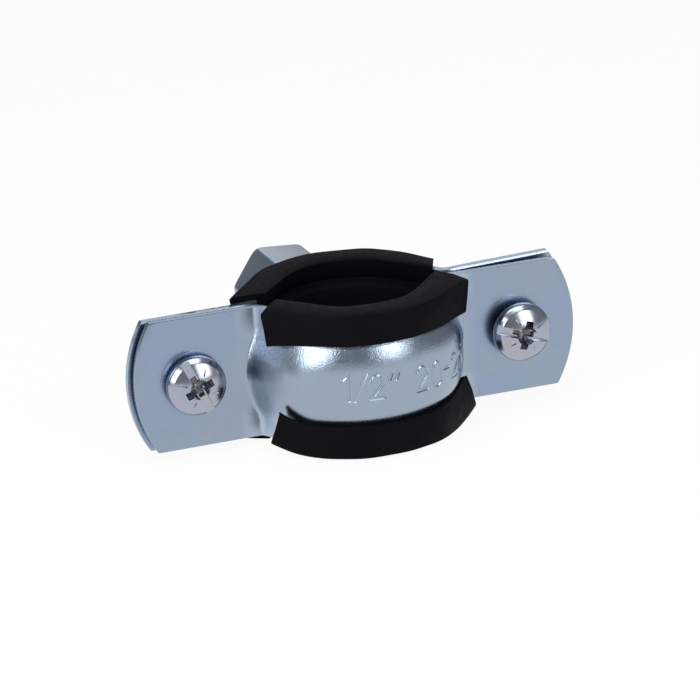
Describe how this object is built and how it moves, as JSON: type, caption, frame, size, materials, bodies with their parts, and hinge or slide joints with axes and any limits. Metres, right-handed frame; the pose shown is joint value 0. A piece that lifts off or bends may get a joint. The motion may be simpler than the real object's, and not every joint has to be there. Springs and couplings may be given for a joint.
{
  "type": "rubber-lined pipe clamp",
  "caption": "Steel pipe clamp in halves with a black rubber liner, closed by screws through its flat ears, with a hex connection nut at the back for a threaded rod.",
  "frame": {"origin": "centre of the pipe seat, half way up the band", "axes": "+Z along the pipe; +Y from the pipe towards the connection nut; +X along the ears, to the right when the screw heads are seen from the front"},
  "size_m": [0.069, 0.0511, 0.0218],
  "materials": {
    "band_steel": "bright zinc plate, blue passivated",
    "liner_rubber": "black EPDM rubber, satin",
    "screw_steel": "bright zinc plate, glossy",
    "nut_steel": "zinc plate, satin"
  },
  "bodies": {
    "rear_half": {"rear_shell": "band_steel", "rear_liner": "liner_rubber", "connection_nut": "nut_steel"},
    "front_half": {"front_shell": "band_steel", "front_liner": "liner_rubber"},
    "left_screw_body": {"left_screw": "screw_steel"},
    "right_screw_body": {"right_screw": "screw_steel"}
  },
  "joints": [
    {"name": "front_half_travel", "type": "slide", "parent": "rear_half", "child": "front_half", "axis": [0, -1, 0], "range_m": [-0.0007, 0.005]},
    {"name": "left_screw_turn", "type": "hinge", "parent": "front_half", "child": "left_screw_body", "pos_m": [-0.0254, -0.00165, 0], "axis": [0, -1, 0], "range_deg": [-315, 2250]},
    {"name": "right_screw_turn", "type": "hinge", "parent": "front_half", "child": "right_screw_body", "pos_m": [0.0254, -0.00165, 0], "axis": [0, -1, 0], "range_deg": [-315, 2250]}
  ],
  "couplings": [
    {"joint": "left_screw_turn", "follows": "front_half_travel", "rad_per_m": 7854},
    {"joint": "right_screw_turn", "follows": "front_half_travel", "rad_per_m": 7854}
  ]
}
